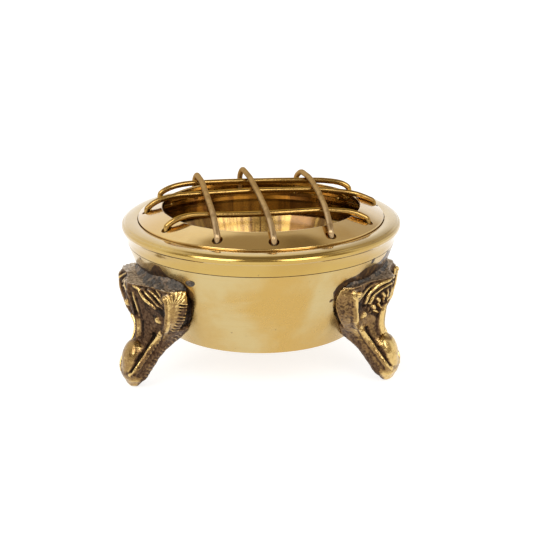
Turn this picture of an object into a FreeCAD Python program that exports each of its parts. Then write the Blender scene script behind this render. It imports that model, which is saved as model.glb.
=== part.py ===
import FreeCAD, Part
import math
import os

from FreeCAD import Vector

# A turned brass incense burner on three cast elephant-head feet. All lengths are in millimetres.
# The origin lies on the bowl's axis, in the plane that the feet stand on. +Z is up and -Y is the front.

# Bowl: a steep taper with a flat bottom and a sharp lower edge
BOWL_BOTTOM_Z = 11.3
BOWL_BOTTOM_R = 27.8
BOWL_MIDDLE = (36.3, 31.0)
BOWL_SEAM_R = 38.4
SEAM_Z = 36.8
WALL = 2.2
FLOOR = 2.6
# The hollow's lower corner: how much its flat floor is narrower than the outside, and the corner's rounding
FLOOR_INSET = 1.6
CORNER_WIDTH = 2.2
CORNER_HEIGHT = 2.4
CORNER_MIDDLE = (1.5, 0.75)

# Rim collar: it stands on the bowl's edge, with a spigot that drops inside the wall
SPIGOT_DROP = 2.6
SPIGOT_WALL = 1.6
FLARE_MIDDLE = (38.75, 38.7)
FLARE_TOP = (39.45, 40.3)
RIM_R = 40.0
BEAD_Z = 41.45
BEAD_CREASE = (39.25, 42.35)
CROWN_MIDDLE = (37.5, 43.07)
RIM_TOP_Z = 42.95
LEDGE_Z = 41.0
LEDGE_R = 34.2
LEDGE_DEPTH = 1.2
THROAT_DEPTH = 2.4
REBATE_R = 35.4

# Lid ring: a slightly domed cone that rises to its opening
LID_R = 35.2
LID_EDGE_Z = 43.5
LID_OPENING_R = 28.2
LID_OPENING_Z = 46.55
LID_CROWN = 0.22
LID_THICKNESS = 1.5
LID_SEAT_R = 34.4
LID_EDGE_ROUND = 0.35

# Wires of the grid
WIRE_R = 0.82
WIRE_HOLE_R = 1.45
HOLE_CIRCLE_R = 32.6
OUTER_HOLE_R = 33.5
HOOK_LENGTH = 3.4
HOOK_BEND_R = 1.3
HOOK_GAP = 0.2

# Each wire: the azimuths of its two holes, and its bends from the first hole to the last. A bend is
# (share of the span, height of the wire's centre, radius of the bend, how far it stands to the left).
WIRES = {
    "front": {
        "ends": (217.5, 335.5),
        "bends": [
            (0, 45.5, 0.9, 0), (0.045, 47.6, 4.5, 0.2), (0.125, 48.35, 10, 0.9), (0.35, 47.9, 60, 1.0),
            (0.52, 48.1, 60, 0.5), (0.78, 48.15, 14, 1.6), (0.935, 47.5, 6, 0.8), (1, 45.6, 1.2, 0),
        ],
    },
    "middle": {
        "ends": (183.0, 371.8),
        "bends": [
            (0, 45.6, 0.9, 0), (0.04, 47.9, 4.5, 0), (0.12, 49.1, 11, 0.3), (0.5, 49.15, 80, 2.2),
            (0.76, 48.85, 26, 1.7), (0.92, 47.6, 9, 0.5), (1, 45.2, 1.2, 0),
        ],
    },
    "back": {
        "ends": (156.0, 396.0),
        "bends": [
            (0, 46.3, 1.4, 0), (0.055, 47.9, 4.5, 0.4), (0.14, 48.5, 12, 1.6), (0.35, 48.4, 50, 2.6),
            (0.65, 48.2, 50, 2.7), (0.86, 48.15, 14, 1.6), (0.97, 47.6, 3.6, 0.3), (1, 46.0, 1.6, 0),
        ],
    },
    "left": {
        "ends": (249.0, 128.1),
        "bends": [
            (0, 45.6, 1.2, 0), (0.035, 47.1, 6, 0), (0.16, 49.7, 20, 0), (0.4, 50.8, 50, 0),
            (0.7, 50.8, 30, -0.4), (0.93, 49.75, 3.0, -0.3), (1, 47.2, 2.5, 0),
        ],
    },
    "centre": {
        "ends": (276.0, 101.4),
        "bends": [
            (0, 45.6, 1.2, 0), (0.035, 47.2, 6, 0), (0.16, 49.7, 20, 0), (0.4, 50.95, 50, 0),
            (0.7, 51.0, 30, -0.3), (0.94, 49.85, 3.0, -0.3), (1, 47.2, 2.5, 0),
        ],
    },
    "right": {
        "ends": (305.3, 70.5),
        "bends": [
            (0, 45.6, 1.2, 0), (0.035, 47.3, 6, 0), (0.16, 49.7, 20, -0.2), (0.4, 50.75, 50, -0.7),
            (0.7, 50.5, 30, -1.2), (0.92, 49.4, 3.4, -0.8), (1, 47.0, 2.5, 0),
        ],
    },
}

# Feet: cast elephant heads, held to the wall by solder
FOOT_AZIMUTHS = {"front_left": 212.0, "front_right": 332.0, "back": 92.0}
FOOT_REACH = {"front_left": 1.2, "front_right": -1.2, "back": 0.0}
HEAD_TOP_Z = 30.6
SOLE_Z = 0.0

# Sections of a foot, from the head's top down to the sole. Each row gives the height, the reach of the
# nose ridge, then (reach, half width) of the cheek, the front edge of the ear and the rear edge beside
# the wall, and last the reach of the back.
FOOT_SECTIONS = [
    (33.0, 41.8, (38.0, 7.6), (36.2, 13.2), (32.2, 14.4), 27.0),
    (30.0, 42.3, (38.4, 7.9), (36.8, 13.8), (32.4, 15.2), 27.0),
    (26.0, 41.4, (38.2, 8.0), (37.1, 14.0), (32.6, 15.5), 27.0),
    (22.0, 40.0, (37.6, 7.6), (36.9, 12.7), (32.4, 13.9), 27.0),
    (18.0, 39.4, (37.4, 6.2), (35.8, 9.6), (32.3, 10.6), 27.0),
    (14.0, 39.7, (37.5, 4.8), (35.4, 6.6), (32.2, 6.8), 28.0),
    (10.0, 42.6, (40.2, 4.4), (37.9, 5.4), (35.0, 5.2), 33.2),
    (6.0, 44.3, (42.8, 4.1), (41.0, 5.0), (38.3, 4.8), 36.6),
    (3.0, 44.1, (43.1, 3.4), (41.7, 4.1), (39.7, 3.9), 38.6),
    (1.0, 43.3, (42.6, 2.5), (41.5, 3.0), (40.4, 2.7), 39.7),
    (-0.6, 42.6, (42.1, 1.6), (41.5, 1.9), (40.9, 1.7), 40.4),
]
BACK_WIDTH_SHARE = 0.8
BULB_CENTRE = (40.7, 7.9)
BULB_REACH = 3.5
BULB_HALF_WIDTH = 4.4
BULB_HALF_LENGTH = 5.8
BULB_LEAN = 10.0
RIDGE_THICK = 0.75
RIDGE_HEIGHTS = (28.5, 24.0, 19.0, 14.0)
LINE_LIFT = 0.3
EAR_THICK = 1.0
EAR = [(13.4, 28.8), (13.6, 25.4), (12.0, 21.0), (9.2, 17.8)]
JAW_THICK = 0.75
JAW = [(36.5, 8.6, 17.6), (37.2, 5.6, 13.2), (39.6, 4.9, 9.9), (41.7, 4.6, 7.2), (43.0, 3.7, 4.6)]
EYE_R = 1.25
EYE = (9.0, 21.5)
KNOB_R = 1.5
KNOB = (12.6, 28.2)

# The raised lines of the two patterns on one half of the face, as (half width, height) from the ridge out
STRAIGHT_LINES = [
    [(2.4, 29.6), (4.0, 28.7), (5.6, 26.7), (8.3, 24.6)],
    [(4.6, 29.4), (6.2, 28.2), (8.3, 26.4), (9.8, 25.0)],
    [(6.4, 29.4), (8.4, 28.0), (10.6, 26.0)],
]
ARCHED_LINES = [
    [(1.4, 29.4), (4.8, 28.6), (7.6, 26.6), (8.8, 23.6)],
    [(1.4, 27.8), (3.9, 27.0), (6.2, 25.0), (7.2, 22.4)],
    [(1.4, 26.2), (3.2, 25.4), (4.8, 23.6), (5.6, 21.4)],
]
FACES = {
    "front_left": {"lines": STRAIGHT_LINES, "thick": 0.5},
    "front_right": {"lines": ARCHED_LINES, "thick": 0.62},
    "back": {"lines": ARCHED_LINES, "thick": 0.62},
}

# Solder: half of its outline on the head's top and at its upper edge, as (reach, half width)
SOLDER_RISE = 2.2
SOLDER_LOW = [(39.8, 0.0), (37.0, 8.4), (33.0, 14.6)]
SOLDER_HIGH = [(37.6, 0.0), (36.3, 8.0), (33.2, 14.0)]
SOLDER_BACK = 28.0

UP = Vector(0, 0, 1)
AXIS_START = Vector(0, 0, 0)


def at(r, z):
    """A point of a turned profile, in the XZ plane."""
    return Vector(r, 0, z)


def turned(edges):
    face = Part.Face(Part.Wire(edges))
    return face.revolve(AXIS_START, UP, 360)


def line(a, b):
    return Part.makeLine(a, b)


def arc(a, middle, b):
    return Part.Arc(a, middle, b).toShape()


def curve(points):
    spline = Part.BSplineCurve()
    spline.interpolate(points)
    return spline.toShape()


def chain(points):
    """Straight edges through the points, without closing them."""
    return [line(a, b) for a, b in zip(points, points[1:])]


def make_bowl():
    inner_middle = (BOWL_MIDDLE[0] - WALL, BOWL_MIDDLE[1])
    spigot_r = BOWL_SEAM_R - WALL
    socket_z = SEAM_Z - SPIGOT_DROP
    floor_z = BOWL_BOTTOM_Z + FLOOR
    floor_r = BOWL_BOTTOM_R - WALL - FLOOR_INSET
    outer_top = at(BOWL_SEAM_R, SEAM_Z)
    edges = [line(at(0, BOWL_BOTTOM_Z), at(BOWL_BOTTOM_R, BOWL_BOTTOM_Z))]
    edges.append(curve([at(BOWL_BOTTOM_R, BOWL_BOTTOM_Z), at(*BOWL_MIDDLE), outer_top]))
    edges += chain([outer_top, at(spigot_r, SEAM_Z), at(spigot_r, socket_z)])
    inner_low = at(floor_r + CORNER_WIDTH, floor_z + CORNER_HEIGHT)
    corner = at(floor_r + CORNER_MIDDLE[0], floor_z + CORNER_MIDDLE[1])
    edges.append(curve([at(spigot_r, socket_z), at(*inner_middle), inner_low]))
    edges.append(arc(inner_low, corner, at(floor_r, floor_z)))
    edges += chain([at(floor_r, floor_z), at(0, floor_z), at(0, BOWL_BOTTOM_Z)])
    return turned(edges)


def make_rim_collar():
    spigot_r = BOWL_SEAM_R - WALL
    bore_r = spigot_r - SPIGOT_WALL
    foot_of_spigot = SEAM_Z - SPIGOT_DROP
    crease = at(*BEAD_CREASE)
    rim_edge = at(REBATE_R, RIM_TOP_Z)
    throat = at(bore_r, LEDGE_Z - THROAT_DEPTH)
    edges = chain([at(spigot_r, foot_of_spigot), at(spigot_r, SEAM_Z), at(BOWL_SEAM_R, SEAM_Z)])
    edges.append(curve([at(BOWL_SEAM_R, SEAM_Z), at(*FLARE_MIDDLE), at(*FLARE_TOP)]))
    edges.append(arc(at(*FLARE_TOP), at(RIM_R, BEAD_Z), crease))
    edges.append(arc(crease, at(*CROWN_MIDDLE), rim_edge))
    edges += chain([rim_edge, at(REBATE_R, LEDGE_Z), at(LEDGE_R, LEDGE_Z)])
    edges += chain([at(LEDGE_R, LEDGE_Z), at(LEDGE_R, LEDGE_Z - LEDGE_DEPTH), throat])
    edges += chain([throat, at(bore_r, foot_of_spigot), at(spigot_r, foot_of_spigot)])
    return turned(edges)


def lid_slope():
    return (LID_OPENING_Z - LID_EDGE_Z) / (LID_R - LID_OPENING_R)


def lid_top(r):
    """Height of the straight cone under the lid's slight dome."""
    return LID_EDGE_Z + (LID_R - r) * lid_slope()


def hole_point(wire, end):
    """The plan position of a wire's first (0) or last (1) hole. One hole was drilled further out."""
    a = math.radians(WIRES[wire]["ends"][end])
    r = OUTER_HOLE_R if (wire, end) == ("middle", 1) else HOLE_CIRCLE_R
    return Vector(r * math.cos(a), r * math.sin(a), 0)


def make_lid_ring():
    drop = LID_THICKNESS * math.hypot(1, lid_slope())
    inner_top = at(LID_OPENING_R, LID_OPENING_Z)
    outer_top = at(LID_R, LID_EDGE_Z)
    middle_r = (LID_OPENING_R + LID_R) / 2
    corners = [
        outer_top,
        at(LID_R, LEDGE_Z),
        at(LID_SEAT_R, LEDGE_Z),
        at(LID_SEAT_R, lid_top(LID_SEAT_R) - drop),
        at(LID_OPENING_R, LID_OPENING_Z - drop),
        inner_top,
    ]
    dome = arc(inner_top, at(middle_r, lid_top(middle_r) + LID_CROWN), outer_top)
    ring = turned([dome] + chain(corners))
    soft = []
    for edge in ring.Edges:
        box = edge.BoundBox
        flat = box.ZLength < 0.01 and box.ZMin > LID_EDGE_Z - 0.01
        if flat and box.XLength > 2 * LID_OPENING_R - 0.1:
            soft.append(edge)
    ring = ring.makeFillet(LID_EDGE_ROUND, soft)
    drill_length = 2 * (LID_OPENING_Z - LEDGE_Z)
    for wire in WIRES:
        for end in (0, 1):
            low = hole_point(wire, end) + Vector(0, 0, LEDGE_Z - 1)
            ring = ring.cut(Part.makeCylinder(WIRE_HOLE_R, drill_length, low, UP))
    return ring


def rounded_path(points, radii):
    """Straight lines through the points, with an arc of the given radius at each inner point."""
    edges = []
    start = points[0]
    for before, corner, after, radius in zip(points, points[1:], points[2:], radii):
        into = (before - corner).normalize()
        out = (after - corner).normalize()
        half = into.getAngle(out) / 2
        back = radius / math.tan(half)
        a = corner + into * back
        b = corner + out * back
        centre = corner + (into + out).normalize() * (radius / math.sin(half))
        middle = centre + (corner - centre).normalize() * radius
        edges.append(line(start, a))
        edges.append(arc(a, middle, b))
        start = b
    edges.append(line(start, points[-1]))
    return Part.Wire(edges)


def make_wire(name):
    """A staple: each end drops through a hole of the lid ring and is bent in underneath."""
    first = hole_point(name, 0)
    last = hole_point(name, 1)
    along = last - first
    span = along.Length
    along.normalize()
    left = UP.cross(along)
    underside = lid_top(HOLE_CIRCLE_R) - LID_THICKNESS * math.hypot(1, lid_slope())
    below = underside - WIRE_R - HOOK_GAP
    hook_rise = HOOK_LENGTH * lid_slope() * 0.5
    points = [first + along * HOOK_LENGTH + UP * (below + hook_rise), first + UP * below]
    radii = [HOOK_BEND_R]
    for share, height, radius, aside in WIRES[name]["bends"]:
        points.append(first + along * (span * share) + UP * height + left * aside)
        radii.append(radius)
    points.append(last + UP * below)
    radii.append(HOOK_BEND_R)
    points.append(last - along * HOOK_LENGTH + UP * (below + hook_rise))
    path = rounded_path(points, radii)
    start = path.Edges[0]
    direction = (start.lastVertex().Point - start.firstVertex().Point).normalize()
    section = Part.Wire(Part.makeCircle(WIRE_R, points[0], direction))
    return path.makePipeShell([section], True, False)


def foot_section(height, ridge, cheek, ear, edge, back):
    """A closed outline at one height of the foot, symmetric about the nose ridge."""
    half = [cheek, ear, edge, (back, edge[1] * BACK_WIDTH_SHARE)]
    points = [Vector(back, 0, height)]
    points += [Vector(reach, -width, height) for reach, width in reversed(half)]
    points.append(Vector(ridge, 0, height))
    points += [Vector(reach, width, height) for reach, width in half]
    outline = Part.BSplineCurve()
    outline.interpolate(points, PeriodicFlag=True)
    return Part.Wire([outline.toShape()])


def between(low, high, share):
    return low + (high - low) * share


def face_point(side, half_width, height, lift=0.0):
    """A point on the face of the head, at a half width and height on the given side."""
    for upper, lower in zip(FOOT_SECTIONS, FOOT_SECTIONS[1:]):
        if lower[0] <= height <= upper[0]:
            share = (height - lower[0]) / (upper[0] - lower[0])
            ridge = between(lower[1], upper[1], share)
            cheek = [between(lower[2][i], upper[2][i], share) for i in (0, 1)]
            ear = [between(lower[3][i], upper[3][i], share) for i in (0, 1)]
    if half_width <= cheek[1]:
        reach = between(ridge, cheek[0], half_width / cheek[1])
    else:
        reach = between(cheek[0], ear[0], (half_width - cheek[1]) / (ear[1] - cheek[1]))
    return Vector(reach + lift, side * half_width, height)


def round_bar(points, radius):
    """A bar with ball ends along a smooth curve."""
    path = Part.Wire([curve(points)])
    direction = path.Edges[0].tangentAt(path.Edges[0].FirstParameter)
    section = Part.Wire(Part.makeCircle(radius, points[0], direction))
    bar = path.makePipeShell([section], True, False)
    for end in (points[0], points[-1]):
        bar = bar.fuse(Part.makeSphere(radius * 1.002, end))
    return bar


def make_bulb():
    """The rounded end of the trunk: an egg that leans outward with the trunk."""
    ball = Part.makeSphere(1)
    stretch = FreeCAD.Matrix()
    stretch.scale(BULB_REACH, BULB_HALF_WIDTH, BULB_HALF_LENGTH)
    egg = ball.transformGeometry(stretch)
    egg.rotate(AXIS_START, Vector(0, 1, 0), -BULB_LEAN)
    egg.translate(Vector(BULB_CENTRE[0], 0, BULB_CENTRE[1]))
    return egg


def make_foot_casting(face):
    """The casting in its own direction: +X leads away from the bowl."""
    casting = Part.makeLoft([foot_section(*row) for row in reversed(FOOT_SECTIONS)], True, False)
    details = [make_bulb()]
    details.append(round_bar([face_point(1, 0, height) for height in RIDGE_HEIGHTS], RIDGE_THICK))
    for side in (-1, 1):
        for spots in face["lines"]:
            details.append(round_bar([face_point(side, *spot, LINE_LIFT) for spot in spots], face["thick"]))
        details.append(round_bar([face_point(side, *spot) for spot in EAR], EAR_THICK))
        jaw = [Vector(reach, side * width, height) for reach, width, height in JAW]
        details.append(round_bar(jaw, JAW_THICK))
        details.append(Part.makeSphere(EYE_R, face_point(side, *EYE)))
        details.append(Part.makeSphere(KNOB_R, face_point(side, *KNOB)))
    for detail in details:
        casting = casting.fuse(detail)
    return casting


def make_bowl_blank():
    """The bowl's outer form without its hollow, used to shape what touches the wall."""
    top = at(BOWL_SEAM_R, SEAM_Z)
    edges = [line(at(0, BOWL_BOTTOM_Z), at(BOWL_BOTTOM_R, BOWL_BOTTOM_Z))]
    edges.append(curve([at(BOWL_BOTTOM_R, BOWL_BOTTOM_Z), at(*BOWL_MIDDLE), top]))
    edges += chain([top, at(0, SEAM_Z), at(0, BOWL_BOTTOM_Z)])
    return turned(edges)


def turn_to(shape, azimuth, reach=0.0):
    """The shape moved outward by reach, then turned about the bowl's axis."""
    moved = shape.copy()
    moved.translate(Vector(reach, 0, 0))
    moved.rotate(AXIS_START, UP, azimuth)
    return moved


def make_foot(name, blank):
    """The casting cut flat at its head and sole, and shaped to the bowl's wall."""
    foot = turn_to(make_foot_casting(FACES[name]), FOOT_AZIMUTHS[name], FOOT_REACH[name])
    side = 4 * RIM_R
    slab = Part.makeBox(side, side, HEAD_TOP_Z - SOLE_Z, Vector(-side / 2, -side / 2, SOLE_Z))
    return foot.common(slab).cut(blank)


def solder_outline(half, height):
    points = [Vector(SOLDER_BACK, 0, height)]
    points += [Vector(reach, width, height) for reach, width in reversed(half)]
    points += [Vector(reach, -width, height) for reach, width in half[1:]]
    return Part.Wire(chain(points + points[:1]))


def make_solder(name, blank):
    """Solder run along the joint between the head's top and the wall, thickest at the ridge."""
    low = solder_outline(SOLDER_LOW, HEAD_TOP_Z)
    high = solder_outline(SOLDER_HIGH, HEAD_TOP_Z + SOLDER_RISE)
    bead = Part.makeLoft([low, high], True, True)
    return turn_to(bead, FOOT_AZIMUTHS[name], FOOT_REACH[name]).cut(blank)


def save(shape, node):
    if shape.ShapeType == "Compound" and len(shape.Solids) == 1:
        shape = shape.Solids[0]
    print(node, "solids", len(shape.Solids), "valid", shape.isValid(), "volume", round(shape.Volume, 1))
    shape.exportStep(f"parts/{node}.step")


os.makedirs("parts", exist_ok=True)
save(make_bowl(), "bowl")
save(make_rim_collar(), "rim_collar")
save(make_lid_ring(), "lid_ring")
for wire_name in WIRES:
    save(make_wire(wire_name), f"wire_{wire_name}")
blank = make_bowl_blank()
for foot_name in FOOT_AZIMUTHS:
    save(make_foot(foot_name, blank), f"foot_{foot_name}")
    save(make_solder(foot_name, blank), f"solder_{foot_name}")
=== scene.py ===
import math

import bmesh
import bpy
import numpy as np
from mathutils import Matrix, Vector, noise


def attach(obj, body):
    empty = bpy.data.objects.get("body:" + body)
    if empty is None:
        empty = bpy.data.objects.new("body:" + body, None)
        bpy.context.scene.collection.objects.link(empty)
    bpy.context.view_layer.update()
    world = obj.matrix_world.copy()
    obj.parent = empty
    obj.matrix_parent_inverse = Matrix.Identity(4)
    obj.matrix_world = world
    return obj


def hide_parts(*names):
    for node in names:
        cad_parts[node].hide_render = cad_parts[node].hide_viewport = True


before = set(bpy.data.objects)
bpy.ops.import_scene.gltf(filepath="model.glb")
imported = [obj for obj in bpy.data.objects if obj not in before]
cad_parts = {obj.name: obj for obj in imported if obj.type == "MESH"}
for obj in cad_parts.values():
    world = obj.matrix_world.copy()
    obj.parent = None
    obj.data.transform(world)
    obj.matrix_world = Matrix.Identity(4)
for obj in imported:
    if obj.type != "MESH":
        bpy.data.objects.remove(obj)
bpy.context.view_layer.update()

MM = 0.001
scene = bpy.context.scene
scene.view_settings.view_transform = "Standard"

# ---------------------------------------------------------------- sizes, in mm and degrees

BOTTOM_R, BOTTOM_Z = 27.8, 11.3
MIDDLE = (36.3, 31.0)
SEAM_R, SEAM_Z = 38.4, 36.8
WALL, FLOOR = 2.2, 2.6
INSIDE_FLOOR_Z = BOTTOM_Z + FLOOR
SOCKET_R, SOCKET_Z, SPIGOT_R = SEAM_R - WALL, SEAM_Z - 2.6, 34.6
RIM_R, RIM_TOP_Z = 40.0, 42.95
CREASE_R, CREASE_Z = 39.3, 42.3
LEDGE_R, LEDGE_Z, REBATE_R = 34.2, 41.0, 35.4
LID_R, LID_EDGE_Z, LID_OPENING_R, LID_OPENING_Z = 35.2, 43.5, 28.2, 46.55
LID_CROWN = 0.22
LID_THICKNESS, LID_SEAT_R = 1.5, 34.4
LID_SLOPE = (LID_OPENING_Z - LID_EDGE_Z) / (LID_R - LID_OPENING_R)
HOLE_CIRCLE_R, OUTER_HOLE_R, HOLE_R, WIRE_R = 32.6, 33.5, 1.45, 0.82
HOOK, HOOK_BEND = 3.4, 1.3
FOOT_AZIMUTH = {"front_left": 212.0, "front_right": 332.0, "back": 92.0}
FOOT_REACH = {"front_left": 1.2, "front_right": -1.2, "back": 0.0}
HEAD_TOP_Z = 30.6

# ---------------------------------------------------------------- camera

CAMERA_AT = Vector((0, -390.4, 153.57)) * MM
CAMERA_TO = Vector((1.518, 0, 27.47)) * MM
CAMERA_ROLL = math.radians(-0.29)
CAMERA_LENS = 95.24
SENSOR = 36

cam_data = bpy.data.cameras.new("camera")
cam_data.lens = CAMERA_LENS
cam_data.sensor_width = SENSOR
cam_data.clip_start = 0.01
cam_data.clip_end = 20
camera = bpy.data.objects.new("camera", cam_data)
scene.collection.objects.link(camera)
look = (CAMERA_TO - CAMERA_AT).to_track_quat("-Z", "Y").to_matrix()
camera.matrix_world = Matrix.Translation(CAMERA_AT) @ (look @ Matrix.Rotation(CAMERA_ROLL, 3, "Z")).to_4x4()
scene.camera = camera


# ---------------------------------------------------------------- node helpers

class Nodes:
    """Short names for the nodes that the materials here are made of."""

    def __init__(self, tree):
        self.tree = tree

    def add(self, kind, **settings):
        node = self.tree.nodes.new(kind)
        for key, value in settings.items():
            setattr(node, key, value)
        return node

    def feed(self, socket, value):
        if isinstance(value, bpy.types.NodeSocket):
            self.tree.links.new(value, socket)
        elif value is not None:
            socket.default_value = value

    def math(self, operation, a, b=None, clamp=False):
        node = self.add("ShaderNodeMath", operation=operation, use_clamp=clamp)
        for socket, value in zip(node.inputs, (a, b)):
            self.feed(socket, value)
        return node.outputs[0]

    def average(self, a, b, share=0.5):
        """A blend of two values, with the given share of the first."""
        return self.math("ADD", self.math("MULTIPLY", a, share), self.math("MULTIPLY", b, 1 - share))

    def stray(self, value, amount):
        """The value less a half, times an amount: a wander about 0."""
        return self.math("MULTIPLY", self.math("SUBTRACT", value, 0.5), amount)

    def position(self):
        return self.add("ShaderNodeTexCoord").outputs["Object"]

    def split(self, vector):
        node = self.add("ShaderNodeSeparateXYZ")
        self.feed(node.inputs[0], vector)
        return node.outputs

    def noise(self, vector, scale, detail=3.0, rough=0.5, warp=0.0):
        node = self.add("ShaderNodeTexNoise")
        self.feed(node.inputs["Vector"], vector)
        node.inputs["Scale"].default_value = scale
        node.inputs["Detail"].default_value = detail
        node.inputs["Roughness"].default_value = rough
        node.inputs["Distortion"].default_value = warp
        return node.outputs["Fac"]

    def ramp(self, value, low, high, to_low=0.0, to_high=1.0):
        node = self.add("ShaderNodeMapRange", interpolation_type="SMOOTHSTEP")
        self.feed(node.inputs["Value"], value)
        for key, number in (("From Min", low), ("From Max", high), ("To Min", to_low), ("To Max", to_high)):
            node.inputs[key].default_value = number
        return node.outputs[0]

    def mix(self, share, a, b):
        node = self.add("ShaderNodeMix", data_type="RGBA")
        self.feed(node.inputs[0], share)
        self.feed(node.inputs[6], a)
        self.feed(node.inputs[7], b)
        return node.outputs[2]

    def bump(self, height, distance, under=None):
        node = self.add("ShaderNodeBump")
        node.inputs["Strength"].default_value = 1.0
        node.inputs["Distance"].default_value = distance
        self.feed(node.inputs["Height"], height)
        if under is not None:
            self.feed(node.inputs["Normal"], under)
        return node.outputs[0]

    def attribute(self, name):
        return self.add("ShaderNodeAttribute", attribute_name=name).outputs["Fac"]

    def turned(self, along, across):
        """Coordinates for turning lines: they change along the profile and hardly at all round the axis."""
        x, y, z = self.split(self.position())
        square = self.math("ADD", self.math("MULTIPLY", x, x), self.math("MULTIPLY", y, y))
        radius = self.math("SQRT", square)
        angle = self.math("ARCTAN2", x, self.math("MULTIPLY", y, -1.0))
        join = self.add("ShaderNodeCombineXYZ")
        self.feed(join.inputs[0], self.math("MULTIPLY", radius, along))
        self.feed(join.inputs[1], self.math("MULTIPLY", z, along))
        self.feed(join.inputs[2], self.math("MULTIPLY", angle, across))
        return join.outputs[0]


def rgb(r, g, b):
    return (r, g, b, 1.0)


def material(name):
    """A new material with one Principled shader; gives the material, its nodes and the shader."""
    mat = bpy.data.materials.new(name)
    mat.use_nodes = True
    n = Nodes(mat.node_tree)
    return mat, n, mat.node_tree.nodes["Principled BSDF"]


# ---------------------------------------------------------------- brass

TURNING_DEPTH = 0.004 * MM
WAVE_DEPTH = 0.2 * MM


def brass(name, pale, deep, stain_and_shade_colour, coat, rough=(0.16, 0.30)):
    """Turned brass: turning lines, faint waves, tarnish clouds, specks, brown heat stains with a painted
    shadow beside each ear and painted shade in the crease, and painted reflections of the wires on the
    inside.
    """
    mat, n, shader = material(name)
    shader.inputs["Coat Weight"].default_value = coat
    shader.inputs["Coat Roughness"].default_value = 0.1
    here = n.position()
    clouds = n.noise(here, 55, 4, 0.6, 0.4)
    fine = n.noise(here, 420, 3, 0.6)
    wide = n.noise(here, 26, 3, 0.55, 0.3)
    tint = n.mix(n.ramp(n.average(clouds, wide), 0.40, 0.60), pale, deep)
    streaks = n.noise(n.turned(2600, 3.0), 1.0, 3, 0.6)
    tint = n.mix(n.math("MULTIPLY", n.ramp(streaks, 0.45, 0.8), 0.22), tint, deep)
    specks = n.ramp(n.noise(here, 900, 2, 0.5), 0.72, 0.80)
    tint = n.mix(n.math("MULTIPLY", specks, 0.55), tint, stain_and_shade_colour)
    # the inside is browner, with upright dark streaks painted as reflections of the wires, which fade out on
    # its floor
    wire_reflection_streaks = n.ramp(n.noise(n.turned(14, 7.5), 1.0, 4, 0.6), 0.42, 0.60)
    on_wall = n.ramp(n.split(here)[2], INSIDE_FLOOR_Z * MM, (INSIDE_FLOOR_Z + 4) * MM, 0.25, 1.0)
    inside = n.mix(n.math("MULTIPLY", wire_reflection_streaks, on_wall), rgb(0.52, 0.325, 0.09), rgb(0.20, 0.10, 0.028))
    tint = n.mix(n.attribute("inner"), tint, inside)
    patchy = n.noise(here, 420, 4, 0.65)
    # the brown mask holds heat staining and seam grime, with a painted shadow beside each ear and painted
    # shade in the crease
    stain_and_shade = n.math("ADD", n.attribute("stain_and_shade"), n.stray(patchy, 0.55))
    stain_and_shade_mask = n.math("MULTIPLY", n.ramp(stain_and_shade, 0.42, 0.52), n.ramp(n.attribute("stain_and_shade"), 0.02, 0.1))
    scorch_and_shade = n.mix(n.ramp(patchy, 0.48, 0.64), stain_and_shade_colour, rgb(0.22, 0.115, 0.035))
    n.feed(shader.inputs["Base Color"], n.mix(stain_and_shade_mask, tint, scorch_and_shade))
    shader.inputs["Metallic"].default_value = 1.0
    gloss = n.ramp(n.average(clouds, fine, 0.6), 0.3, 0.7, *rough)
    n.feed(shader.inputs["Roughness"], n.math("ADD", gloss, n.math("MULTIPLY", stain_and_shade_mask, 0.28), clamp=True))
    broad = n.bump(n.noise(here, 60, 2, 0.5), WAVE_DEPTH)
    turning = n.bump(n.noise(n.turned(5200, 1.2), 1.0, 4, 0.7), TURNING_DEPTH, under=broad)
    n.feed(shader.inputs["Normal"], n.bump(n.math("ADD", fine, specks), TURNING_DEPTH, under=turning))
    return mat


polished = brass("polished_brass", rgb(0.58, 0.45, 0.205), rgb(0.55, 0.355, 0.095),
                 rgb(0.06, 0.028, 0.011), 0.45)
collar_brass = brass("collar_brass", rgb(0.54, 0.36, 0.085), rgb(0.50, 0.315, 0.06),
                     rgb(0.06, 0.03, 0.012), 0.9, (0.12, 0.22))
lid_brass = brass("lid_brass", rgb(0.68, 0.46, 0.16), rgb(0.60, 0.37, 0.09),
                  rgb(0.05, 0.025, 0.01), 0.9, (0.10, 0.20))


def wire_metal(name, bright, dull, grime, cover, rough):
    """Drawn brass wire: dull patches over a bright ground, flecked with grime."""
    mat, n, shader = material(name)
    shader.inputs["Specular Tint"].default_value = rgb(0.42, 0.30, 0.18)
    here = n.position()
    patches = n.ramp(n.noise(here, 210, 4, 0.65, 0.5), 0.5 - cover, 0.75 - cover)
    marks = n.noise(here, 1500, 3, 0.6)
    tint = n.mix(patches, bright, dull)
    tint = n.mix(n.math("MULTIPLY", n.ramp(marks, 0.58, 0.75), 0.6), tint, grime)
    n.feed(shader.inputs["Base Color"], tint)
    shader.inputs["Metallic"].default_value = 1.0
    worn = n.math("ADD", patches, n.math("MULTIPLY", marks, 0.5))
    n.feed(shader.inputs["Roughness"], n.ramp(worn, 0.1, 1.3, *rough))
    n.feed(shader.inputs["Normal"], n.bump(n.noise(here, 900, 4, 0.7), 0.03 * MM))
    return mat


golden_wire = wire_metal("golden_wire", rgb(0.46, 0.285, 0.085), rgb(0.27, 0.15, 0.045),
                         rgb(0.07, 0.035, 0.015), 0.0, (0.22, 0.40))
pale_wire = wire_metal("pale_wire", rgb(0.56, 0.40, 0.22), rgb(0.36, 0.235, 0.115),
                       rgb(0.12, 0.065, 0.03), 0.05, (0.36, 0.56))


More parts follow.
